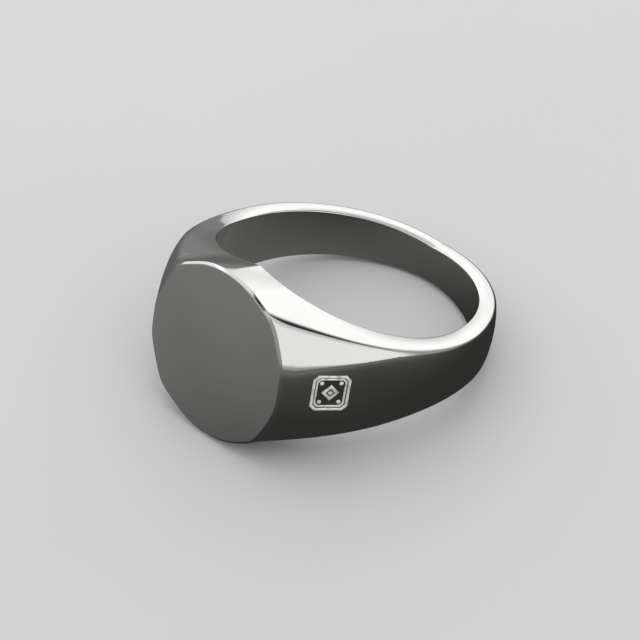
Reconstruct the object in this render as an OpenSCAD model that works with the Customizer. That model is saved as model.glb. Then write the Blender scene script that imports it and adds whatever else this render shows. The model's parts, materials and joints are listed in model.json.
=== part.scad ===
// Signet ring with a soft oval seal face and domed, bevelled shoulders.
// Frame: the finger passes along +Z through the origin, the seal face looks toward -Y.
// Angles called u are measured round the finger from the middle of the head (u = 0)
// to the middle of the back (u = 180), the same on both sides.

/* [Finger bore] */
// Inside diameter, which is the finger size
bore_d = 18.5; // [16:0.5:21]
// Size of the small bevel that softens both edges of the bore
bore_edge = 0.12; // [0.06:0.02:0.2]

/* [Band] */
// Width of the band at the back, along the finger
back_w = 2.72; // [2.4:0.04:4]
// Metal thickness at the back, in the middle of the band
back_t = 1.3; // [1.2:0.1:1.8]
// Metal thickness at the back, along the two outer edges
back_edge_t = 1.12; // [0.8:0.02:1.18]
// Rounding of the outer edges of the band
band_round = 0.32; // [0.2:0.02:0.5]

/* [Head] */
// Height of the seal face above the bore
head_rise = 3.29; // [2.8:0.01:4]
// Width of the head at the bore, along the finger
head_w = 11.58; // [10.8:0.02:12.4]
// Width of the seal face across the finger
face_w = 11.7; // [11:0.1:12.4]
// Length of the seal face along the finger
face_l = 12.75; // [12.2:0.05:13.4]
// Angle from the middle of the head at which a shoulder edge meets the face
corner_u = 18.3; // [16:0.1:19.5]
// Angle over which the swell of the shoulders dies away into the band
swell_u = 30; // [26:1:34]
// Step from the bore's edge in to the shoulder edges, and out again on the band
edge_step = 0.08; // [0.04:0.02:0.3]
// Rounding of the shoulder edges beside the face, which softens the face's four corners
head_round = 0.65; // [0.4:0.05:0.9]

/* [Shoulder bevels] */
// Share of the half width at which the flatter bevel starts beside the face
bevel_share = 0.33; // [0.26:0.01:0.42]
// Angle up to which the bevel starts at that share
bevel_from_u = 28; // [26:1:34]
// Angle at which the bevel has narrowed to the outer edge
bevel_to_u = 60; // [54:1:64]
// Softness of the bevel's lower limit
bevel_soft = 0.07; // [0.05:0.01:0.12]

/* [Solder seams] */
// Angle of the seam between head and shank
seam_u = 67.5; // [64.5:3:79.5]

/* [Seal plate] */
// Width of the bright rim left round the plate
rim_w = 0.16; // [0.1:0.02:0.4]
// Thickness of the plate and depth of its seat
plate_t = 0.8; // [0.6:0.1:1.2]

/* [Shoulder mark] */
// Angle of the mark's middle on the right shoulder
mark_u = 39.5; // [38:0.5:41]
// Offset of the mark's middle from the middle of the band
mark_z = 0.2; // [-0.2:0.05:0.3]
// Width of the mark, round the shoulder
mark_w = 2.6; // [2:0.05:2.9]
// Height of the mark, along the finger
mark_h = 2.7; // [1.8:0.05:2.8]
// Depth of the tile's seat
mark_seat = 0.55; // [0.4:0.05:0.7]
// Height of the tile's frame above the middle of the seat's opening
mark_proud = 0.08; // [0.06:0.01:0.12]
// Width of the tile's frame
mark_frame = 0.24; // [0.18:0.02:0.3]
// Depth of the field inside the frame
mark_sink = 0.16; // [0.1:0.02:0.2]

/* [Hidden] */
bore_r = bore_d / 2;
face_y = bore_r + head_rise;
side_u = atan2(face_w / 2, face_y);
corner_r = face_y / cos(corner_u);
side_r = face_y / cos(side_u);
edge_base = bore_r + back_edge_t;
crown_base = bore_r + back_t;

// how the band widens toward the head: an even part and a part that starts late
even_part = 0.34;
late_from = 0.45;
late_span = 0.8;
// where the outer edge goes over from inside the bore's edge to outside it
step_turn_u = 55;
step_turn_span = 60;
// fullness of the face's curved ends: 2 is a parabola, more is squarer
arc_power = 2.3;
// angle over which those ends are eased into the shoulders, and where that stops
ease_u = 5;
ease_to_u = 150;

// shape of the dome from the crown to the outer edge
crown_power = 2.3;
bevel_end_share = 0.92;
bevel_strength = 0.68;
bevel_fade_u = 42;
bevel_fade_span = 34;
// angle over which the rounding at the face goes over into the band's
round_u = 40;
// largest rounding, as a share of the metal's thickness at the edge
round_limit = 0.7;

// spacing of the sections: close together beside the face, wider behind it
corner_steps = 7;
dense_u = 30;
u_step = 3;
crown_points = 10;
bore_sides = 180;
// the ring's surface runs on inside the bore down to here, where the bore is then cut
core_r = 0.8 * bore_r;
// how far the cutter of the plate's seat runs on in front of the face
overshoot = 1.2;

// finding the face's outline
outline_step = 5;
search_from = 0.3 * face_w;
search_to = 0.7 * face_l;
halvings = 14;

// the mark's cut corners, and how much they shrink with the frame's inside
corner_cut = 0.34;
corner_shrink = 0.4;
// the lozenge as a share of the field, the beads, and how far both stay under the frame's top
lozenge_share = 0.565;
bead_r = 0.16;
bead_sides = 24;
bead_in = 0.4;
motif_under = 0.04;
motif_root = 0.08;

// a plain mixture, and an S-shaped step from 0 to 1
function mix(a, b, t) = a + (b - a) * t;
function ease(t) = let (c = min(max(t, 0), 1)) c * c * (3 - 2 * c);
// 0 at the back and 1 at the head, evenly and as the band widens
function toward_head(u) = (180 - abs(u)) / 180;
function widening(u) =
    even_part * toward_head(u)
    + (1 - even_part) * ease((toward_head(u) - late_from) / late_span)
      / ease((1 - late_from) / late_span);

// half width at the bore's edge
function bore_half(u) = back_w / 2 + (head_w - back_w) / 2 * widening(u);

// the outer edge lies inside the bore's edge on the shoulders and outside it on the band
function step_in(u) = edge_step * mix(1, -1, ease((abs(u) - step_turn_u) / step_turn_span));

// half width at the outer edge; between the corners it follows the face's curved end
function sharp_half(u) =
    abs(u) >= corner_u ? bore_half(u) - step_in(u)
    : let (k = abs(tan(u) / tan(corner_u)), at_corner = bore_half(corner_u) - step_in(corner_u))
      face_l / 2 - (face_l / 2 - at_corner) * pow(k, arc_power);

// the same, averaged over a few degrees so that no crease is left at the corners
function edge_half(u) =
    abs(u) > ease_to_u ? sharp_half(u)
    : let (d = ease_u / 2)
      (sharp_half(u - 2 * d) + 2 * sharp_half(u - d) + 3 * sharp_half(u)
       + 2 * sharp_half(u + d) + sharp_half(u + 2 * d)) / 9;

// radius of the outer edge, and of the crown in the middle of the band
function edge_r(u) = edge_base + (corner_r - edge_base) * exp((corner_u - abs(u)) / swell_u);
function crown_r(u) = crown_base + (side_r - crown_base) * exp((side_u - abs(u)) / swell_u);

// share at which the bevel starts at the angle u, and how much of the shape it makes up there
function bevel_start(u) =
    let (t = (abs(u) - bevel_from_u) / (bevel_to_u - bevel_from_u))
    mix(bevel_share, bevel_end_share, min(max(t, 0), 1));
function bevel_part(u) = bevel_strength * (1 - ease((abs(u) - bevel_fade_u) / bevel_fade_span));

// a slope that is nearly nothing up to the share c and even beyond it
function soft_ramp(s, c) = ln(1 + exp((s - c) / bevel_soft));

// how far the outside has come from the crown to the outer edge at the share s
function fall(u, s) =
    let (c = bevel_start(u))
    mix(pow(s, crown_power),
        (soft_ramp(s, c) - soft_ramp(0, c)) / (soft_ramp(1, c) - soft_ramp(0, c)),
        bevel_part(u));

// outer radius at the share s of the half width
function dome_r(u, s) = crown_r(u) - (crown_r(u) - edge_r(u)) * fall(u, s);

// rounding of the outer edge
function edge_round(u) = head_round + (band_round - head_round) * ease((abs(u) - corner_u) / round_u);

// a point on the curve that leaves a toward b and arrives at c from b
function bend(a, b, c, t) = mix(mix(a, b, t), mix(b, c, t), t);

// upper half of a section as [radius, height] points, from the bore round to the middle;
// between the corners its side passes through the face's outline and goes on beyond it
function upper_section(u) =
    let (
        flank_start = [bore_r + bore_edge, bore_half(u)],
        end_r = edge_r(u),
        plane_r = min(end_r, face_y / cos(min(abs(u), corner_u))),
        rise = (edge_half(u) - flank_start[1]) / (plane_r - flank_start[0]),
        h = edge_half(u) + rise * (end_r - plane_r),
        edge = [end_r, h],
        soft = min(edge_round(u), round_limit * (edge[0] - flank_start[0])),
        before = mix(edge, flank_start, soft / norm(edge - flank_start)),
        s_after = 1 - soft / h,
        after = [dome_r(u, s_after), h - soft]
    )
    concat(
        [[core_r, bore_half(u) - bore_edge - (bore_r - core_r)], flank_start],
        [for (t = [0:0.25:1]) bend(before, edge, after, t)],
        [for (i = [crown_points - 1:-1:0])
            let (s = s_after * i / crown_points)
            [dome_r(u, s), s * h]]
    );

function section(u) =
    let (top = upper_section(u), n = len(top))
    concat(top, [for (i = [n - 2:-1:0]) [top[i][0], -top[i][1]]]);

// a point of the ring in space; u runs from the face toward +X
function place(u, r, z) = [r * sin(u), -r * cos(u), z];

// angles of all sections; the face's corners are among them
function stations() =
    let (n = corner_steps,
         half = concat([for (i = [0:n - 1]) i * corner_u / n],
                       [for (i = [0:n - 1]) corner_u + i * (dense_u - corner_u) / n],
                       [for (u = [dense_u:u_step:180 - u_step / 2]) u]))
    concat(half, [180], [for (i = [len(half) - 1:-1:1]) -half[i]]);

// the whole ring as one closed surface, before the bore and the face are cut
module ring_blank() {
    angles = stations();
    rows = len(angles);
    per_row = len(section(0));
    points = [for (u = angles) for (p = section(u)) place(u, p[0], p[1])];
    faces = [for (i = [0:rows - 1]) for (j = [0:per_row - 1])
        let (i2 = (i + 1) % rows, j2 = (j + 1) % per_row)
        for (f = [[i * per_row + j, i2 * per_row + j, i2 * per_row + j2],
                  [i * per_row + j, i2 * per_row + j2, i * per_row + j2]]) f];
    polyhedron(points, faces, convexity = 8);
}

module ring_body() {
    difference() {
        ring_blank();
        cylinder(r = bore_r, h = 2 * head_w, center = true, $fn = bore_sides);
        translate([-2 * bore_d, -face_y - 2 * bore_d, -2 * bore_d])
            cube([4 * bore_d, 2 * bore_d, 4 * bore_d]);
    }
}

// the wedge of space in front of the two seams, which belongs to the head
module head_sector() {
    reach = 3 * bore_d;
    linear_extrude(height = 2 * head_w, center = true)
        polygon([[0, 0], [-reach * sin(seam_u), -reach * cos(seam_u)], [-reach, -reach],
                 [reach, -reach], [reach * sin(seam_u), -reach * cos(seam_u)]]);
}

// the rest of space behind the seams, which belongs to the shank
module shank_sector() {
    reach = 3 * bore_d;
    linear_extrude(height = 2 * head_w, center = true)
        polygon([[0, 0], [reach * sin(seam_u), -reach * cos(seam_u)], [reach, reach],
                 [-reach, reach], [-reach * sin(seam_u), -reach * cos(seam_u)]]);
}

// whether a point of the face's plane lies on the face
function on_face(x, z) =
    let (u = atan2(x, face_y), r = face_y / cos(u))
    r < crown_r(u) && z < lookup(r, upper_section(u));

// distance from the middle of the face to its outline in the direction t, by halving
function face_reach(t, near, far, left) =
    left == 0 ? near
    : let (half_way = (near + far) / 2)
      on_face(half_way * cos(t), half_way * sin(t))
      ? face_reach(t, half_way, far, left - 1)
      : face_reach(t, near, half_way, left - 1);

// outline of the seal face, seen from the front, drawn in by the rim
module plate_outline() {
    quarter = [for (t = [0:outline_step:90])
        (face_reach(t, search_from, search_to, halvings) - rim_w) * [cos(t), sin(t)]];
    n = len(quarter);
    upper = concat(quarter, [for (i = [n - 2:-1:0]) [-quarter[i][0], quarter[i][1]]]);
    polygon(concat(upper, [for (i = [len(upper) - 2:-1:1]) [upper[i][0], -upper[i][1]]]));
}

// the plate's outline made solid, from the bottom of its seat to a distance in front of the face
module plate_solid(in_front) {
    translate([0, -face_y + plate_t, 0])
        rotate([90, 0, 0])
            linear_extrude(height = plate_t + in_front)
                plate_outline();
}

// frame on the right shoulder: X round the shoulder, Y along the finger, Z outward
module on_shoulder() {
    half_span = atan(mark_w / 2 / crown_r(mark_u));
    near = place(mark_u - half_span, crown_r(mark_u - half_span), mark_z);
    far = place(mark_u + half_span, crown_r(mark_u + half_span), mark_z);
    heading = atan2(far[1] - near[1], far[0] - near[0]);
    translate((near + far) / 2)
        rotate([90, 0, heading])
            children();
}

// the tile's outline with its four corners cut off
module cut_corner_square(shrink) {
    x = mark_w / 2 - shrink;
    y = mark_h / 2 - shrink;
    c = corner_cut - corner_shrink * shrink;
    polygon([[x - c, y], [-x + c, y], [-x, y - c], [-x, -y + c],
             [-x + c, -y], [x - c, -y], [x, -y + c], [x, y - c]]);
}

// the head before anything is let into it
module plain_head() {
    difference() {
        ring_body();
        shank_sector();
    }
}

// the head with the seat for the seal plate
module seated_head() {
    difference() {
        plain_head();
        plate_solid(overshoot);
    }
}

module head() {
    color([0.86, 0.87, 0.88])
        difference() {
            seated_head();
            on_shoulder()
                translate([0, 0, -mark_seat])
                    linear_extrude(height = 2 * mark_seat)
                        cut_corner_square(0);
        }
}

module shank() {
    color([0.8, 0.81, 0.82])
        difference() {
            ring_body();
            head_sector();
        }
}

module seal_plate() {
    color([0.55, 0.56, 0.58])
        plate_solid(0);
}

// plain generic motif: a framed field with a lozenge and four beads
module mark_tile() {
    field_w = mark_w / 2 - mark_frame;
    field_h = mark_h / 2 - mark_frame;
    field_z = mark_proud - mark_sink;
    motif_z = field_z - motif_root;
    motif_h = mark_sink - motif_under + motif_root;
    lozenge = lozenge_share * field_h;
    color([0.92, 0.92, 0.9])
        on_shoulder() {
            difference() {
                translate([0, 0, -mark_seat])
                    linear_extrude(height = mark_seat + mark_proud)
                        cut_corner_square(0);
                translate([0, 0, field_z])
                    linear_extrude(height = 2 * mark_sink)
                        cut_corner_square(mark_frame);
            }
            translate([0, 0, motif_z])
                linear_extrude(height = motif_h)
                    polygon([[lozenge, 0], [0, lozenge], [-lozenge, 0], [0, -lozenge]]);
            for (x = [-1, 1], y = [-1, 1])
                translate([x * (field_w - bead_in), y * (field_h - bead_in), motif_z])
                    cylinder(r = bead_r, h = motif_h, $fn = bead_sides);
        }
}

shank();
head();
seal_plate();
mark_tile();
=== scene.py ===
"""Signet ring: polished shank and head, satin seal plate and a small framed tile, on a pale floor."""

import json
import math

import bmesh
import bpy
import numpy as np
from mathutils import Matrix, Vector


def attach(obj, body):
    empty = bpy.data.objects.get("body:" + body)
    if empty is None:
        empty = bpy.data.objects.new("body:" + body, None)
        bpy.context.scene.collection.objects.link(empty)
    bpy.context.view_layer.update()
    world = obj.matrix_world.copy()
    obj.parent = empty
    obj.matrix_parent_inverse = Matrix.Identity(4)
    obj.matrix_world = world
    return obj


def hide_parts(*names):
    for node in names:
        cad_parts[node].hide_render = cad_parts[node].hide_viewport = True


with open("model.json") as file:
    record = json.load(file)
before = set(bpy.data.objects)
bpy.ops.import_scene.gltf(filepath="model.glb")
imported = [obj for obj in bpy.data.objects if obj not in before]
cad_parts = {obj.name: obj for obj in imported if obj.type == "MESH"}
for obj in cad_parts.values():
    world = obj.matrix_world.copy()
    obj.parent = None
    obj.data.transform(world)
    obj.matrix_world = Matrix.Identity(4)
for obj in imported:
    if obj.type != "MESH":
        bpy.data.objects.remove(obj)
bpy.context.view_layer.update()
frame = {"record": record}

MM = 0.001
FRONT = Vector((0, -1, 0))  # the way the seal face looks
RECORD = frame["record"]
MOUNTS = {m["name"]: m for m in RECORD["mounts"]}

# ---------------------------------------------------------------- sizes, in millimetres
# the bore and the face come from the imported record, the rest repeats part.scad
BORE_R = MOUNTS["finger_bore"]["dims"]["r_mm"]
FACE_Y = -MOUNTS["seal_face"]["pos_m"][1] / MM
BORE_EDGE = 0.12
BACK_W, BACK_T, BACK_EDGE_T, BAND_ROUND = 2.72, 1.3, 1.12, 0.32
HEAD_W, FACE_W, FACE_L = 11.58, 11.7, 12.75
CORNER_U, SWELL_U, EDGE_STEP, HEAD_ROUND = 18.3, 30.0, 0.08, 0.65
STEP_TURN_U, STEP_TURN_SPAN = 55, 60
BEVEL_SHARE, BEVEL_FROM_U, BEVEL_TO_U, BEVEL_SOFT = 0.33, 28.0, 60.0, 0.07
BEVEL_END_SHARE, BEVEL_STRENGTH, BEVEL_FADE_U, BEVEL_FADE_SPAN = 0.92, 0.68, 42.0, 34.0
CROWN_POWER, EVEN_PART, LATE_FROM, LATE_SPAN = 2.3, 0.34, 0.45, 0.8
EASE_U, EASE_TO_U, ROUND_U, ROUND_LIMIT, ARC_POWER = 5.0, 150, 40.0, 0.7, 2.3
SEAM_U = 67.5
RIM_W, PLATE_T = 0.16, 0.8
MARK_U, MARK_Z, MARK_W, MARK_H = 39.5, 0.2, 2.6, 2.7
MARK_SEAT, MARK_PROUD, MARK_FRAME, MARK_SINK = 0.55, 0.08, 0.24, 0.16
CORNER_CUT, CORNER_SHRINK, LOZENGE_SHARE, BEAD_R, BEAD_IN = 0.34, 0.4, 0.565, 0.16, 0.4

# finer than the CAD: the height of the polished bevel round the face, how far the flat sides between
# bore and shoulder bulge, the hairline between the plate and its seat, and the rise of a bead
LIP, FLANK_BOW, PLATE_GAP, BEAD_RISE = 0.2, 0.03, 0.012, 0.12
# points of a section: half the bore, its edge, a flat side, the rounded shoulder edge, half the crown
BORE_POINTS, EDGE_POINTS, FLANK_POINTS, ROUND_POINTS, CROWN_POINTS = 9, 5, 12, 12, 30
# the angles that a corner of the outline is spread over, as a share of EASE_U and as a count
EASE_REACH, EASE_STEPS = 1.5, 61
BEAD_SIDES, TILE_SHARP = 24, 38
# how near a cut a point counts as on it, and how deep the seat's cuts reach
CLOSE, CUT_REACH = 1e-5, 0.8

# worked out from the sizes above
SIDE_U = math.degrees(math.atan2(FACE_W / 2, FACE_Y))
CORNER_R = FACE_Y / math.cos(math.radians(CORNER_U))
SIDE_R = FACE_Y / math.cos(math.radians(SIDE_U))
EDGE_BASE, CROWN_BASE = BORE_R + BACK_EDGE_T, BORE_R + BACK_T


# ---------------------------------------------------------------- the ring's form
# u is the angle round the bore from the face's middle, in degrees
def ease(t):
    c = np.clip(t, 0.0, 1.0)
    return c * c * (3 - 2 * c)


def mix(a, b, t):
    return a + (b - a) * t


def bore_half(u):
    """Half the ring's width along the finger, at the bore."""
    t = (180 - np.abs(u)) / 180
    late = ease((t - LATE_FROM) / LATE_SPAN) / ease((1 - LATE_FROM) / LATE_SPAN)
    wide = EVEN_PART * t + (1 - EVEN_PART) * late
    return BACK_W / 2 + (HEAD_W - BACK_W) / 2 * wide


def step_in(u):
    """How much less that half is at the outer edge; past the shoulders it turns to more."""
    return EDGE_STEP * mix(1, -1, ease((np.abs(u) - STEP_TURN_U) / STEP_TURN_SPAN))


def sharp_half(u):
    """Half the width at the outer edge, with the face's curved end between its corners."""
    k = np.tan(np.radians(np.clip(u, -CORNER_U, CORNER_U))) / math.tan(math.radians(CORNER_U))
    at_corner = bore_half(CORNER_U) - step_in(CORNER_U)
    arc = FACE_L / 2 - (FACE_L / 2 - at_corner) * np.abs(k) ** ARC_POWER
    return np.where(np.abs(u) >= CORNER_U, bore_half(u) - step_in(u), arc)


def eased(rule, u):
    """A rule's mean over the angles round u, weighted toward u, which rounds off its corners."""
    shares = np.linspace(-1, 1, EASE_STEPS)[1:-1]
    weights = 1 - np.abs(shares)
    return sum(w * rule(u + EASE_U * EASE_REACH * t) for w, t in zip(weights, shares)) / weights.sum()


def edge_half(u):
    return np.where(np.abs(u) > EASE_TO_U, sharp_half(u), eased(sharp_half, u))


def edge_r(u):
    """The outer edge's distance from the bore's middle."""
    return EDGE_BASE + (CORNER_R - EDGE_BASE) * np.exp((CORNER_U - np.abs(u)) / SWELL_U)


def crown_r(u):
    """The crown's distance from the bore's middle, half way between the two outer edges."""
    return CROWN_BASE + (SIDE_R - CROWN_BASE) * np.exp((SIDE_U - np.abs(u)) / SWELL_U)


def fall(u, s):
    """The dome's drop from crown, s = 0, to edge, s = 1; beside the face it turns to a flatter bevel."""
    along = np.clip((abs(u) - BEVEL_FROM_U) / (BEVEL_TO_U - BEVEL_FROM_U), 0, 1)
    c = mix(BEVEL_SHARE, BEVEL_END_SHARE, along)
    part = BEVEL_STRENGTH * (1 - ease((abs(u) - BEVEL_FADE_U) / BEVEL_FADE_SPAN))

    def ramp(x):
        return np.log1p(np.exp((x - c) / BEVEL_SOFT))

    return mix(s ** CROWN_POWER, (ramp(s) - ramp(0.0)) / (ramp(1.0) - ramp(0.0)), part)


def dome_r(u, s):
    return crown_r(u) - (crown_r(u) - edge_r(u)) * fall(u, s)


def bend(a, b, c, t):
    """A point on the soft curve that leaves a toward b and reaches c."""
    return mix(mix(a, b, t), mix(b, c, t), t)


def upper_section(u):
    """Points (radius, height) from the middle of the bore up and over to the crown, and how worn each is."""
    w = float(bore_half(u))
    flank = np.array([BORE_R + BORE_EDGE, w])
    end_r = float(edge_r(u))
    # edge_half holds where the section meets the face's plane, and the flat side runs on from there
    plane_r = min(end_r, FACE_Y / math.cos(math.radians(min(abs(u), CORNER_U))))
    rise = (float(edge_half(u)) - w) / (plane_r - flank[0])
    h = float(edge_half(u)) + rise * (end_r - plane_r)
    edge = np.array([end_r, h])
    round_ = mix(HEAD_ROUND, BAND_ROUND, ease((abs(u) - CORNER_U) / ROUND_U))
    soft = min(float(round_), ROUND_LIMIT * (end_r - flank[0]))
    before = mix(edge, flank, soft / np.linalg.norm(edge - flank))
    s_after = 1 - soft / h
    after = np.array([float(dome_r(u, s_after)), h - soft])
    points, wear = [], []
    for t in np.linspace(0, 1, BORE_POINTS)[:-1]:
        points.append([BORE_R, (w - BORE_EDGE) * t])
        wear.append(0.0)
    for t in np.linspace(0, 1, EDGE_POINTS):
        points.append(bend(np.array([BORE_R, w - BORE_EDGE]), np.array([BORE_R, w]), flank, t))
        wear.append(1.0)
    across = (before - flank) / np.linalg.norm(before - flank)
    out = np.array([-across[1], across[0]])
    for t in np.linspace(0, 1, FLANK_POINTS)[1:-1]:
        points.append(mix(flank, before, t) + FLANK_BOW * 4 * t * (1 - t) * out)
        wear.append(0.0)
    for t in np.linspace(0, 1, ROUND_POINTS):
        points.append(bend(before, edge, after, t))
        wear.append(math.sin(math.pi * t))
    for s in s_after * np.linspace(1, 0, CROWN_POINTS)[1:]:
        points.append([float(dome_r(u, s)), s * h])
        wear.append(0.0)
    return np.array(points), np.array(wear)


def stations():
    """The angles of the sections, closest together at the face."""
    half = np.concatenate([np.arange(0, 30, 0.5), np.arange(30, SEAM_U, 0.75), np.arange(SEAM_U, 180, 1.0)])
    return np.concatenate([half, [180.0], -half[:0:-1]])


def ring_grid():
    """All points of the uncut ring as an array [station, point, xyz], with normals and wear."""
    angles = stations()
    rows = []
    for u in angles:
        top, wear = upper_section(u)
        full = np.concatenate([top, top[-2:0:-1] * [1, -1]])
        a = math.radians(u)
        rows.append(np.stack([full[:, 0] * math.sin(a), -full[:, 0] * math.cos(a), full[:, 1]], 1))
        wears = np.concatenate([wear, wear[-2:0:-1]])
    grid = np.array(rows)
    along = np.roll(grid, -1, 0) - np.roll(grid, 1, 0)
    around = np.roll(grid, -1, 1) - np.roll(grid, 1, 1)
    normals = np.cross(around, along)
    normals /= np.linalg.norm(normals, axis=2)[:, :, None]
    crown = int(np.argmax(grid[len(angles) // 2, :, 1]))
    if normals[len(angles) // 2, crown, 1] < 0:
        normals = -normals
    return angles, grid, normals, wears


# ---------------------------------------------------------------- mesh helpers
def new_piece(name, mesh, slot, *nodes):
    piece = bpy.data.objects.new(name, mesh)
    bpy.context.scene.collection.objects.link(piece)
    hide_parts(*nodes)
    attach(piece, "root")


def mark_frame():
    """Middle, heading, finger axis and outward normal of the tile, as in part.scad."""
    half = math.degrees(math.atan(MARK_W / 2 / float(crown_r(MARK_U))))
    ends = []
    for u in (MARK_U - half, MARK_U + half):
        r = float(crown_r(u))
        ends.append(Vector((r * math.sin(math.radians(u)), -r * math.cos(math.radians(u)), MARK_Z)))
    x = (ends[1] - ends[0]).normalized()
    y = Vector((0, 0, 1))
    return (ends[0] + ends[1]) / 2, x, y, x.cross(y)


def cut_corner_loop(shrink, z):
    """The eight corners of the tile's outline, drawn in by shrink, at the height z over its seat."""
    x, y, c = MARK_W / 2 - shrink, MARK_H / 2 - shrink, CORNER_CUT - CORNER_SHRINK * shrink
    flat = [(x - c, y), (-x + c, y), (-x, y - c), (-x, -y + c),
            (-x + c, -y), (x - c, -y), (x, -y + c), (x, y - c)]
    return [(a, b, z) for a, b in flat]


def finish_normals(bm, mesh):
    """Skin faces take the stored exact normals, all others their own."""
    stored = bm.verts.layers.float_vector["exact"]
    skin = bm.faces.layers.int["skin"]
    bm.normal_update()
    normals = []
    for f in bm.faces:
        f.smooth = True
        for loop in f.loops:
            normals.append(loop.vert[stored].normalized() if f[skin] else f.normal.copy())
    bm.to_mesh(mesh)
    mesh.normals_split_custom_set(normals)


def ring_part(wanted, grid_data):
    """A bmesh of the stations whose angles pass wanted, closed with flat caps at the seams."""
    angles, grid, normals, wears = grid_data
    rows, cols = grid.shape[:2]
    bm = bmesh.new()
    exact = bm.verts.layers.float_vector.new("exact")
    worn = bm.verts.layers.float.new("wear")
    skin = bm.faces.layers.int.new("skin")
    made = {}

    def vert(i, j):
        if (i, j) not in made:
            v = bm.verts.new(grid[i, j])
            v[exact] = Vector(normals[i, j])
            v[worn] = float(wears[j])
            made[i, j] = v
        return made[i, j]

    used = []
    for i in range(rows):
        n = (i + 1) % rows
        if not (wanted(angles[i]) and wanted(angles[n])):
            continue
        used += [i, n]
        for j in range(cols):
            m = (j + 1) % cols
            f = bm.faces.new([vert(i, j), vert(i, m), vert(n, m), vert(n, j)])
            f[skin] = 1
    # a station that is used only once is an end
    for i in sorted(set(used)):
        if used.count(i) == 1:
            bm.faces.new([vert(i, j) for j in range(cols)])
    bmesh.ops.recalc_face_normals(bm, faces=bm.faces[:])
    return bm


def loop_in_order(edges):
    """The vertices of a closed run of edges, one after the other."""
    left = {}
    for e in edges:
        a, b = e.verts
        left.setdefault(a, []).append(b)
        left.setdefault(b, []).append(a)
    start = next(iter(left))
    order, before, here = [start], None, start
    while True:
        step = [v for v in left[here] if v is not before]
        before, here = here, step[0]
        if here is start:
            return order
        order.append(here)


def add_face_rim(bm):
    """Cuts the head off at the face and gives it a polished bevel, a rim and the plate's seat."""
    exact, worn = bm.verts.layers.float_vector["exact"], bm.verts.layers.float["wear"]
    skin = bm.faces.layers.int["skin"]
    bmesh.ops.bisect_plane(bm, geom=bm.verts[:] + bm.edges[:] + bm.faces[:], dist=CLOSE,
                           plane_co=(0, -FACE_Y + LIP, 0), plane_no=FRONT, clear_outer=True)
    ring = loop_in_order([e for e in bm.edges if e.is_boundary])
    outline = np.array([[v.co.x, v.co.z] for v in ring])
    # the way in is square to the line between the third points before and after
    ahead = np.roll(outline, -3, 0) - np.roll(outline, 3, 0)
    inward = np.stack([-ahead[:, 1], ahead[:, 0]], 1)
    inward /= np.linalg.norm(inward, axis=1)[:, None]
    if (inward * outline).sum() > 0:
        inward = -inward
    # how far in, how far below the face, share of the face's own normal, skin or not
    steps = [(RIM_W * 0.15, LIP * 0.80, 0.40, 1), (RIM_W * 0.8, LIP * 0.15, 0.46, 1),
             (RIM_W * 0.95, 0.01, 0.8, 1), (RIM_W, 0.03, 0.6, 1), (RIM_W, PLATE_T, 0.0, 0)]
    before = ring
    for inset, depth, flat, is_skin in steps:
        after = []
        for k, v in enumerate(ring):
            x, z = outline[k] + inward[k] * inset
            w = bm.verts.new((x, -FACE_Y + depth, z))
            w[exact] = (v[exact] * (1 - flat) + FRONT * flat).normalized()
            w[worn] = 1.0 if depth < LIP else 0.0
            after.append(w)
        for k in range(len(ring)):
            m = (k + 1) % len(ring)
            f = bm.faces.new([before[k], before[m], after[m], after[k]])
            f[skin] = is_skin
        before = after
    bm.faces.new(before)
    bmesh.ops.recalc_face_normals(bm, faces=bm.faces[:])
    return outline, inward


def add_mark_seat(bm):
    """Cuts the tile's seat into the right shoulder along its exact outline."""
    middle, x, y, z = mark_frame()
    corners = [middle + x * a + y * b for a, b, _ in cut_corner_loop(0.0, 0.0)]

    def local(p):
        d = p - middle
        return d.dot(x), d.dot(y), d.dot(z)

    def near(f):
        a, b, c = local(f.calc_center_median())
        return abs(a) < MARK_W and abs(b) < MARK_H and abs(c) < CUT_REACH

    sides = [(corners[k], (corners[(k + 1) % 8] - corners[k]).cross(z).normalized()) for k in range(8)]
    for point, out in sides:
        faces = [f for f in bm.faces if near(f)]
        edges = list({e for f in faces for e in f.edges})
        verts = list({v for f in faces for v in f.verts})
        bmesh.ops.bisect_plane(bm, geom=verts + edges + faces, dist=CLOSE, plane_co=point, plane_no=out)
    inside = [f for f in bm.faces if near(f)
              and all((f.calc_center_median() - p).dot(n) < 0 for p, n in sides)]
    bmesh.ops.delete(bm, geom=inside, context="FACES")
    ring = loop_in_order([e for e in bm.edges if e.is_boundary])
    low = []
    for v in ring:
        a, b, _ = local(v.co)
        low.append(bm.verts.new(middle + x * a + y * b - z * MARK_SEAT))
    for k in range(len(ring)):
        m = (k + 1) % len(ring)
        bm.faces.new([ring[k], ring[m], low[m], low[k]])
    bm.faces.new(low)
    bmesh.ops.recalc_face_normals(bm, faces=bm.faces[:])


def to_metres(bm):
    bmesh.ops.scale(bm, vec=(MM, MM, MM), verts=bm.verts[:])


def finish_piece(bm, name, look, slot, node):
    """Turns a bmesh with stored normals into the piece that stands for a CAD node."""
    to_metres(bm)
    mesh = bpy.data.meshes.new(name)
    finish_normals(bm, mesh)
    mesh.materials.append(look)
    new_piece(name, mesh, slot, node)


# ---------------------------------------------------------------- materials
def material(name):
    m = bpy.data.materials.new(name)
    m.use_nodes = True
    return m, m.node_tree.nodes, m.node_tree.links, m.node_tree.nodes["Principled BSDF"]


def noise(nodes, links, vector, scale, detail=3.0, rough=0.5):
    n = nodes.new("ShaderNodeTexNoise")
    n.inputs["Scale"].default_value = scale
    n.inputs["Detail"].default_value = detail
    n.inputs["Roughness"].default_value = rough
    links.new(vector, n.inputs["Vector"])
    return n.outputs["Fac"]


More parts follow.
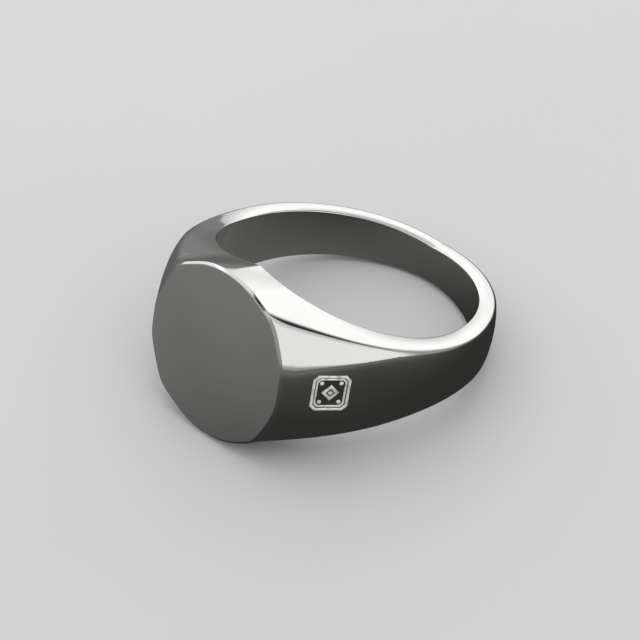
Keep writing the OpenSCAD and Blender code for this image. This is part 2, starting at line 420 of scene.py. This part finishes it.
def span(nodes, links, value, from_min, from_max, to_min, to_max):
    n = nodes.new("ShaderNodeMapRange")
    for key, v in zip(("From Min", "From Max", "To Min", "To Max"), (from_min, from_max, to_min, to_max)):
        n.inputs[key].default_value = v
    links.new(value, n.inputs["Value"])
    return n.outputs["Result"]


def math_node(nodes, links, kind, a, b):
    n = nodes.new("ShaderNodeMath")
    n.operation = kind
    for socket, v in zip(n.inputs, (a, b)):
        if isinstance(v, (int, float)):
            socket.default_value = v
        else:
            links.new(v, socket)
    return n.outputs[0]


def tint(nodes, links, fac, dark, light):
    n = nodes.new("ShaderNodeMix")
    n.data_type = "RGBA"
    links.new(fac, n.inputs[0])
    n.inputs[6].default_value = (*dark, 1)
    n.inputs[7].default_value = (*light, 1)
    return n.outputs[2]


def stretched(nodes, links, turn, scale):
    """Object coordinates turned and stretched, for scratches that run one way."""
    where = nodes.new("ShaderNodeTexCoord").outputs["Object"]
    m = nodes.new("ShaderNodeMapping")
    m.inputs["Rotation"].default_value = turn
    m.inputs["Scale"].default_value = scale
    links.new(where, m.inputs["Vector"])
    return m.outputs["Vector"]


def scratches(nodes, links, turn, scale, width):
    """Thin lines where a stretched noise passes its middle value: 1 on a scratch, 0 elsewhere."""
    value = noise(nodes, links, stretched(nodes, links, turn, scale), 1.0, 2.0)
    off = math_node(nodes, links, "ABSOLUTE", math_node(nodes, links, "SUBTRACT", value, 0.5), 0.0)
    return span(nodes, links, off, 0.0, width, 1.0, 0.0)


def bump(nodes, links, height, strength, distance, normal=None):
    n = nodes.new("ShaderNodeBump")
    n.inputs["Strength"].default_value = strength
    n.inputs["Distance"].default_value = distance
    links.new(height, n.inputs["Height"])
    if normal is not None:
        links.new(normal, n.inputs["Normal"])
    return n.outputs["Normal"]


def polished_silver():
    """Bright silver with a few hair scratches, and duller where its edges are worn."""
    m, nodes, links, bsdf = material("polished_silver")
    where = nodes.new("ShaderNodeTexCoord").outputs["Object"]
    worn = nodes.new("ShaderNodeAttribute")
    worn.attribute_name = "wear"
    cloud = noise(nodes, links, where, 260.0, 4.0)
    fine = noise(nodes, links, where, 2600.0, 3.0)
    hair = math_node(nodes, links, "MAXIMUM",
                     scratches(nodes, links, (0.3, 0.2, 0.9), (2600, 240, 2600), 0.012),
                     scratches(nodes, links, (1.1, 0.5, 2.2), (240, 3000, 2400), 0.010))
    sparse = span(nodes, links, noise(nodes, links, where, 420.0, 2.0), 0.52, 0.66, 0.0, 1.0)
    hair = math_node(nodes, links, "MULTIPLY", hair, sparse)
    rough = span(nodes, links, cloud, 0.35, 0.7, 0.035, 0.075)
    rough = math_node(nodes, links, "ADD", rough, math_node(nodes, links, "MULTIPLY", hair, 0.16))
    patchy = span(nodes, links, fine, 0.4, 0.7, 0.02, 0.10)
    edge = math_node(nodes, links, "MULTIPLY", worn.outputs["Fac"], patchy)
    links.new(math_node(nodes, links, "ADD", rough, edge), bsdf.inputs["Roughness"])
    links.new(tint(nodes, links, cloud, (0.90, 0.89, 0.875), (0.965, 0.96, 0.95)), bsdf.inputs["Base Color"])
    bsdf.inputs["Metallic"].default_value = 1.0
    wavy = bump(nodes, links, cloud, 0.10, 0.00004)
    links.new(bump(nodes, links, hair, 0.06, 0.00001, wavy), bsdf.inputs["Normal"])
    return m


def satin_silver():
    """Fine even grain with a faint lay across the plate."""
    m, nodes, links, bsdf = material("satin_silver")
    where = nodes.new("ShaderNodeTexCoord").outputs["Object"]
    grain = noise(nodes, links, where, 9000.0, 3.0, 0.6)
    patch = noise(nodes, links, where, 180.0, 4.0)
    lay = noise(nodes, links, stretched(nodes, links, (0, 0.35, 0), (9000, 9000, 900)), 1.0, 2.0)
    links.new(math_node(nodes, links, "ADD", span(nodes, links, grain, 0.3, 0.7, 0.36, 0.46),
                        span(nodes, links, patch, 0.3, 0.7, -0.02, 0.02)), bsdf.inputs["Roughness"])
    both = math_node(nodes, links, "ADD", math_node(nodes, links, "MULTIPLY", patch, 0.5),
                     math_node(nodes, links, "MULTIPLY", lay, 0.5))
    links.new(tint(nodes, links, both, (0.74, 0.735, 0.725), (0.82, 0.815, 0.805)), bsdf.inputs["Base Color"])
    bsdf.inputs["Metallic"].default_value = 1.0
    height = math_node(nodes, links, "ADD", grain, math_node(nodes, links, "MULTIPLY", lay, 0.6))
    links.new(bump(nodes, links, height, 0.25, 0.000006), bsdf.inputs["Normal"])
    return m


def tile_silver():
    """Bright where the tile is raised, dark and stippled where it is sunk."""
    m, nodes, links, bsdf = material("tile_silver")
    where = nodes.new("ShaderNodeTexCoord").outputs["Object"]
    raised = nodes.new("ShaderNodeAttribute")
    raised.attribute_name = "raised"
    stipple = noise(nodes, links, where, 7000.0, 3.0, 0.6)
    stain = noise(nodes, links, where, 2200.0, 3.0)
    unstained = span(nodes, links, stain, 0.34, 0.56, 0.55, 1.0)
    clean = math_node(nodes, links, "MULTIPLY", raised.outputs["Fac"], unstained)
    links.new(tint(nodes, links, clean, (0.045, 0.044, 0.04), (1.0, 0.995, 0.97)), bsdf.inputs["Base Color"])
    links.new(span(nodes, links, clean, 0.0, 1.0, 0.5, 0.28), bsdf.inputs["Roughness"])
    bsdf.inputs["Metallic"].default_value = 0.3
    worn = bump(nodes, links, stain, 0.7, 0.00006)
    links.new(bump(nodes, links, stipple, 0.5, 0.00002, worn), bsdf.inputs["Normal"])
    return m


# ---------------------------------------------------------------- the pieces
grid_data = ring_grid()
POLISHED, SATIN, TILE = polished_silver(), satin_silver(), tile_silver()


def ring_head():
    """The head with its rim and both seats; gives back the rim's outline and the way in from it."""
    bm = ring_part(lambda u: abs(u) <= SEAM_U, grid_data)
    outline, inward = add_face_rim(bm)
    add_mark_seat(bm)
    finish_piece(bm, "ring_head", POLISHED, "polished_silver", "head")
    return outline, inward


def ring_shank():
    bm = ring_part(lambda u: abs(u) >= SEAM_U, grid_data)
    finish_piece(bm, "ring_shank", POLISHED, "polished_silver", "shank")


outline, inward = ring_head()
ring_shank()


def seal_table(outline, inward):
    """The satin plate: a flat top with a fine broken edge, down to the floor of its seat."""
    bm = bmesh.new()
    exact = bm.verts.layers.float_vector.new("exact")
    skin = bm.faces.layers.int.new("skin")
    edge = RIM_W + PLATE_GAP
    # how far in, how far below the face, share of the face's own normal
    steps = [(edge, PLATE_T, 0.0), (edge, 0.035, 0.1), (edge + 0.012, 0.012, 0.6), (edge + 0.04, 0.0, 1.0)]
    before = None
    for inset, depth, flat in steps:
        row = []
        for k in range(len(outline)):
            x, z = outline[k] + inward[k] * inset
            v = bm.verts.new((x, -FACE_Y + depth, z))
            outward = Vector((-inward[k][0], 0, -inward[k][1]))
            v[exact] = (outward * (1 - flat) + FRONT * flat).normalized()
            row.append(v)
        if before:
            for k in range(len(row)):
                m = (k + 1) % len(row)
                bm.faces.new([before[k], before[m], row[m], row[k]])[skin] = 1
        else:
            bm.faces.new(row)
        before = row
    bm.faces.new(before)
    bmesh.ops.recalc_face_normals(bm, faces=bm.faces[:])
    finish_piece(bm, "seal_table", SATIN, "satin_silver", "seal_plate")


seal_table(outline, inward)


def framed_tile():
    """The small tile: a frame of two ribs, a stippled field, a lozenge and four beads."""
    middle, x, y, z = mark_frame()
    bm = bmesh.new()
    raised = bm.verts.layers.float.new("raised")

    def rings(loops):
        """Joins loops of equal length and closes both ends; each is (points, how raised)."""
        before = None
        for points, high in loops:
            row = []
            for p in points:
                v = bm.verts.new(p)
                v[raised] = high
                row.append(v)
            if before:
                for k in range(len(row)):
                    m = (k + 1) % len(row)
                    bm.faces.new([before[k], before[m], row[m], row[k]])
            else:
                bm.faces.new(row)
            before = row
        bm.faces.new(before)

    def rib(start, width, base, height):
        """A half-round rib of the frame, from the outside in."""
        turns = [math.radians(t) for t in (10, 35, 60, 90, 120, 145, 170)]
        return [(start + width * (0.5 - 0.5 * math.cos(t)), base + height * math.sin(t),
                 min(1.0, 1.6 * math.sin(t))) for t in turns]

    top, floor = MARK_PROUD, MARK_PROUD - MARK_SINK
    # how far in, how high, how raised
    profile = [(0.0, -MARK_SEAT, 0.0), (0.0, top - 0.13, 0.2)]
    profile += rib(start=0.0, width=0.2, base=top - 0.09, height=0.09) + [(0.225, floor + 0.02, 0.0)]
    profile += rib(start=0.25, width=0.14, base=floor + 0.03, height=0.08) + [(0.41, floor, 0.0)]
    rings([(cut_corner_loop(inset, h), high) for inset, h, high in profile])

    field_x, field_y = MARK_W / 2 - MARK_FRAME, MARK_H / 2 - MARK_FRAME
    size = LOZENGE_SHARE * field_y
    lozenge = []
    # share of the lozenge's size, height over the field, how raised
    for grow, lift, high in ((1.0, -0.05, 0.0), (1.0, 0.04, 0.3), (0.86, 0.10, 1.0), (0.62, 0.12, 1.0),
                             (0.5, 0.06, 0.2), (0.3, 0.06, 0.2), (0.2, 0.11, 1.0)):
        r, h = size * grow, floor + lift
        lozenge.append(([(r, 0, h), (0, r, h), (-r, 0, h), (0, -r, h)], high))
    rings(lozenge)

    def circle(cx, cy, r, h):
        turns = np.linspace(0, 2 * math.pi, BEAD_SIDES, endpoint=False)
        return [(cx + r * math.cos(a), cy + r * math.sin(a), h) for a in turns]

    for sx in (-1, 1):
        for sy in (-1, 1):
            cx, cy = sx * (field_x - BEAD_IN), sy * (field_y - BEAD_IN)
            loops = [(circle(cx, cy, BEAD_R, floor - 0.05), 0.0)]
            for lift in (0.0, 20.0, 40.0, 60.0, 78.0):
                up_turn = math.radians(lift)
                dome = circle(cx, cy, BEAD_R * math.cos(up_turn), floor + BEAD_RISE * math.sin(up_turn))
                loops.append((dome, min(1.0, lift / 35)))
            rings(loops)
    bmesh.ops.recalc_face_normals(bm, faces=bm.faces[:])
    place = Matrix((x, y, z)).transposed().to_4x4()
    place.translation = middle
    bmesh.ops.transform(bm, matrix=place, verts=bm.verts[:])
    to_metres(bm)
    mesh = bpy.data.meshes.new("framed_tile")
    bm.to_mesh(mesh)
    mesh.shade_smooth()
    mesh.set_sharp_from_angle(angle=math.radians(TILE_SHARP))
    mesh.materials.append(TILE)
    new_piece("framed_tile", mesh, "tile_silver", "mark_tile")


framed_tile()


# ---------------------------------------------------------------- floor, light and camera
def resting_plane():
    """A point and the normal of the floor, which touches the ring where a ruler laid under it would."""
    below = grid_data[1].reshape(-1, 3)
    below = below[(below[:, 1] > -FACE_Y) & (below[:, 2] < 0)]
    halves = [below[below[:, 1] < 0], below[below[:, 1] > 0]]
    # each round finds the lowest point of either half under the slope so far, and lays the ruler on both
    slope = 0.0
    for _ in range(RULER_ROUNDS):
        front, rear = (half[np.argmin(half[:, 2] - slope * half[:, 1])] for half in halves)
        slope = (rear[2] - front[2]) / (rear[1] - front[1])
    run = Vector((0, 1, slope)).normalized()
    return Vector((0, front[1], front[2])) * MM, Vector((1, 0, 0)).cross(run)


def aim(obj, target):
    obj.rotation_mode = "QUATERNION"
    obj.rotation_quaternion = (Vector(target) - obj.location).to_track_quat("-Z", "Y")


# painted reflection, a glow that only mirror rays see: what the metal sees of the floor, close to the ring
# and far off, darker on the tile's side as painted shade than on the other, and of the room, up to a good
# height and overhead
PAINTED_SHADE_NEAR_RIGHT, PAINTED_REFLECTION_NEAR_LEFT = (0.028, 0.028, 0.027), (0.105, 0.105, 0.103)
PAINTED_SHADE_FAR_RIGHT, PAINTED_REFLECTION_FAR_LEFT = (0.13, 0.13, 0.13), (0.21, 0.21, 0.21)
ROOM, OVERHEAD = (0.29, 0.29, 0.29), (0.03, 0.03, 0.03)
FLOOR_SIZE, FLOOR_CELLS, RULER_ROUNDS = 3.0, 24, 6

floor_point, up = resting_plane()


def pale_floor():
    """A pale floor that mirror rays see as a dark table, a painted reflection that glows though it is no
    lamp, because polished metal needs something dark to reflect: darkest beside the tile, where it is painted
    shade, paler under the face and far off."""
    m, nodes, links, bsdf = material("pale_floor")
    where = nodes.new("ShaderNodeTexCoord").outputs["Object"]
    cloud = noise(nodes, links, where, 30.0, 3.0)
    links.new(tint(nodes, links, cloud, (0.60, 0.60, 0.605), (0.64, 0.64, 0.645)), bsdf.inputs["Base Color"])
    bsdf.inputs["Roughness"].default_value = 0.35
    far = nodes.new("ShaderNodeVectorMath")
    far.operation = "LENGTH"
    links.new(where, far.inputs[0])
    across = nodes.new("ShaderNodeSeparateXYZ")
    links.new(where, across.inputs[0])
    # painted shade on the tile's side, a paler painted reflection under the face
    left = span(nodes, links, across.outputs["X"], -0.008, 0.004, 1.0, 0.0)
    near = tint(nodes, links, left, PAINTED_SHADE_NEAR_RIGHT, PAINTED_REFLECTION_NEAR_LEFT)
    far_off = tint(nodes, links, left, PAINTED_SHADE_FAR_RIGHT, PAINTED_REFLECTION_FAR_LEFT)
    # a glow that is no lamp, seen only by mirror rays: painted reflection of a dark table, with painted shade
    # near the ring
    dark = nodes.new("ShaderNodeEmission")
    blend = nodes.new("ShaderNodeMix")
    blend.data_type = "RGBA"
    links.new(span(nodes, links, far.outputs["Value"], 0.016, 0.075, 0.0, 1.0), blend.inputs[0])
    links.new(near, blend.inputs[6])
    links.new(far_off, blend.inputs[7])
    links.new(blend.outputs[2], dark.inputs["Color"])
    rays = nodes.new("ShaderNodeLightPath")
    both = nodes.new("ShaderNodeMixShader")
    links.new(rays.outputs["Is Glossy Ray"], both.inputs[0])
    links.new(bsdf.outputs[0], both.inputs[1])
    links.new(dark.outputs[0], both.inputs[2])
    links.new(both.outputs[0], nodes["Material Output"].inputs["Surface"])
    return m


def floor():
    bm = bmesh.new()
    side, along = Vector((1, 0, 0)), up.cross(Vector((1, 0, 0)))
    n, size = FLOOR_CELLS, FLOOR_SIZE
    rows = [[bm.verts.new(floor_point + side * size * (i / n - 0.5) + along * size * (j / n - 0.5))
             for i in range(n + 1)] for j in range(n + 1)]
    for j in range(n):
        for i in range(n):
            bm.faces.new([rows[j][i], rows[j][i + 1], rows[j + 1][i + 1], rows[j + 1][i]])
    mesh = bpy.data.meshes.new("floor")
    bm.to_mesh(mesh)
    mesh.materials.append(pale_floor())
    obj = bpy.data.objects.new("floor", mesh)
    bpy.context.scene.collection.objects.link(obj)


floor()


def softbox(name, place, width, height, brightness, feather=(0.08, 0.08)):
    """A soft light aimed at the ring, which fades out over these shares of its width and height."""
    # the power grows with the area, so boxes of any size look as bright at the same brightness
    data = bpy.data.lights.new(name, "AREA")
    data.shape = "RECTANGLE"
    data.size, data.size_y = width, height
    data.energy = brightness * math.pi * width * height
    data.use_nodes = True
    nodes, links = data.node_tree.nodes, data.node_tree.links
    across = nodes.new("ShaderNodeSeparateXYZ")
    links.new(nodes.new("ShaderNodeNewGeometry").outputs["Parametric"], across.inputs[0])
    glow = None
    for axis, part in zip("XY", feather):
        off = math_node(nodes, links, "SUBTRACT", across.outputs[axis], 0.5)
        off = math_node(nodes, links, "ABSOLUTE", off, 0.0)
        fade = span(nodes, links, off, 0.5 - part, 0.5, 1.0, 0.0)
        glow = fade if glow is None else math_node(nodes, links, "MULTIPLY", glow, fade)
    links.new(glow, nodes["Emission"].inputs["Strength"])
    obj = bpy.data.objects.new(name, data)
    bpy.context.scene.collection.objects.link(obj)
    obj.location = place
    aim(obj, (0, 0, 0))
    obj.visible_camera = False


# named by where they stand as the camera sees them
softbox("back_box", (-0.112, 0.277, 0.201), 0.82, 0.44, 0.76, (0.15, 0.40))
softbox("right_box", (0.327, -0.058, 0.224), 0.60, 0.62, 0.52, (0.12, 0.06))
softbox("left_box", (-0.275, -0.159, 0.169), 1.04, 0.32, 0.55)
softbox("front_box", (0.028, -0.317, 0.318), 0.36, 0.22, 0.6, (0.45, 0.45))
softbox("top_box", (-0.16, -0.04, 0.42), 0.40, 0.46, 0.7)


def studio_world():
    """Even pale light, which mirror rays see as a grey room that is dark overhead."""
    world = bpy.data.worlds.new("studio")
    bpy.context.scene.world = world
    world.use_nodes = True
    nodes, links = world.node_tree.nodes, world.node_tree.links
    even = nodes["Background"]
    even.inputs["Color"].default_value = (0.80, 0.80, 0.81, 1)
    even.inputs["Strength"].default_value = 0.8
    seen = nodes.new("ShaderNodeBackground")
    ahead = nodes.new("ShaderNodeSeparateXYZ")
    links.new(nodes.new("ShaderNodeTexCoord").outputs["Generated"], ahead.inputs[0])
    high = span(nodes, links, ahead.outputs["Z"], 0.68, 0.85, 0.0, 1.0)
    links.new(tint(nodes, links, high, ROOM, OVERHEAD), seen.inputs["Color"])
    rays = nodes.new("ShaderNodeLightPath")
    both = nodes.new("ShaderNodeMixShader")
    links.new(rays.outputs["Is Glossy Ray"], both.inputs[0])
    links.new(even.outputs[0], both.inputs[1])
    links.new(seen.outputs[0], both.inputs[2])
    links.new(both.outputs[0], nodes["World Output"].inputs["Surface"])


studio_world()

CAMERA_AZ, CAMERA_EL, CAMERA_AWAY, LENS, SENSOR = 38.1, 30.0, 0.2034, 165.6, 36.0
# how far right of and above the picture's middle the bore's middle lies, as shares of its width
LOOK_RIGHT, LOOK_UP = 0.03515625, 0.030625


def camera():
    az, el = math.radians(CAMERA_AZ), math.radians(CAMERA_EL)
    to_camera = Vector((math.sin(az) * math.cos(el), -math.cos(az) * math.cos(el), math.sin(el)))
    right = up.cross(to_camera).normalized()
    above = to_camera.cross(right)
    cam = bpy.data.objects.new("camera", bpy.data.cameras.new("camera"))
    bpy.context.scene.collection.objects.link(cam)
    cam.data.lens, cam.data.sensor_width = LENS, SENSOR
    cam.data.clip_start, cam.data.clip_end = 0.01, 10.0
    cam.location = to_camera * CAMERA_AWAY
    look = (to_camera * LENS + right * SENSOR * LOOK_RIGHT + above * SENSOR * LOOK_UP).normalized()
    side = above.cross(look).normalized()
    cam.rotation_mode = "QUATERNION"
    cam.rotation_quaternion = Matrix((side, look.cross(side), look)).transposed().to_quaternion()
    bpy.context.scene.camera = cam


camera()
bpy.context.scene.view_settings.view_transform = "Standard"
